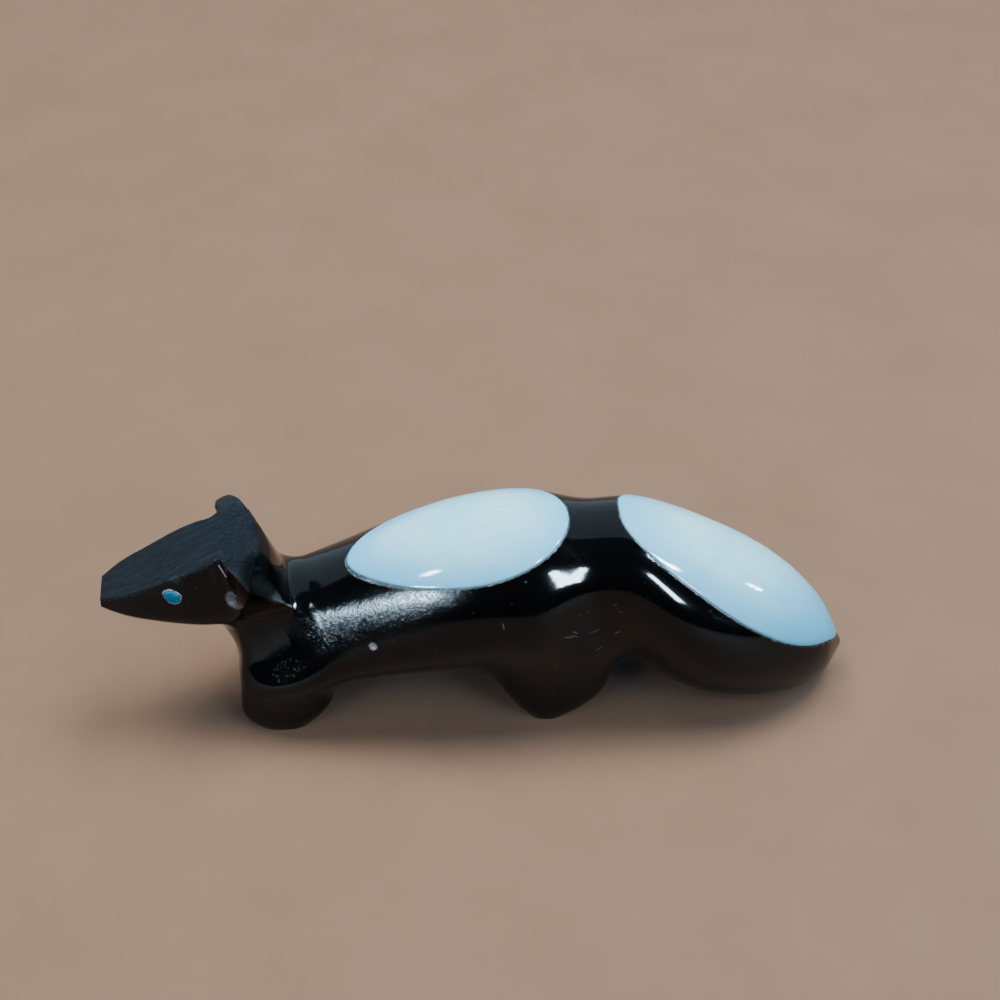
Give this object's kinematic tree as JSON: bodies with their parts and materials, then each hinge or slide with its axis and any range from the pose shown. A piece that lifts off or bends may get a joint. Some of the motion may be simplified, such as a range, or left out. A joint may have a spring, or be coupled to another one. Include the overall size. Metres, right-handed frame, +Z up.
{
  "type": "carved stone fetish figure",
  "caption": "Small carved skunk in polished black stone with a flat-topped head, low stubby feet, a drooping bushy tail, shell inlays set along the back and tail, and turquoise eyes.",
  "frame": {"origin": "bottom centre of the bounding box, on the ground plane under the soles", "axes": "+X from nose to tail tip, +Y to the animal's right, away from the picture's camera, +Z up"},
  "size_m": [0.0753, 0.0184, 0.0234],
  "materials": {
    "stone": "polished black marble with satin and sanded areas",
    "shell": "polished mother of pearl",
    "turquoise": "satin turquoise"
  },
  "bodies": {
    "root": {"stone_body": "stone", "back_inlay": "shell", "tail_inlay": "shell", "left_eye": "turquoise", "right_eye": "turquoise"}
  },
  "joints": []
}
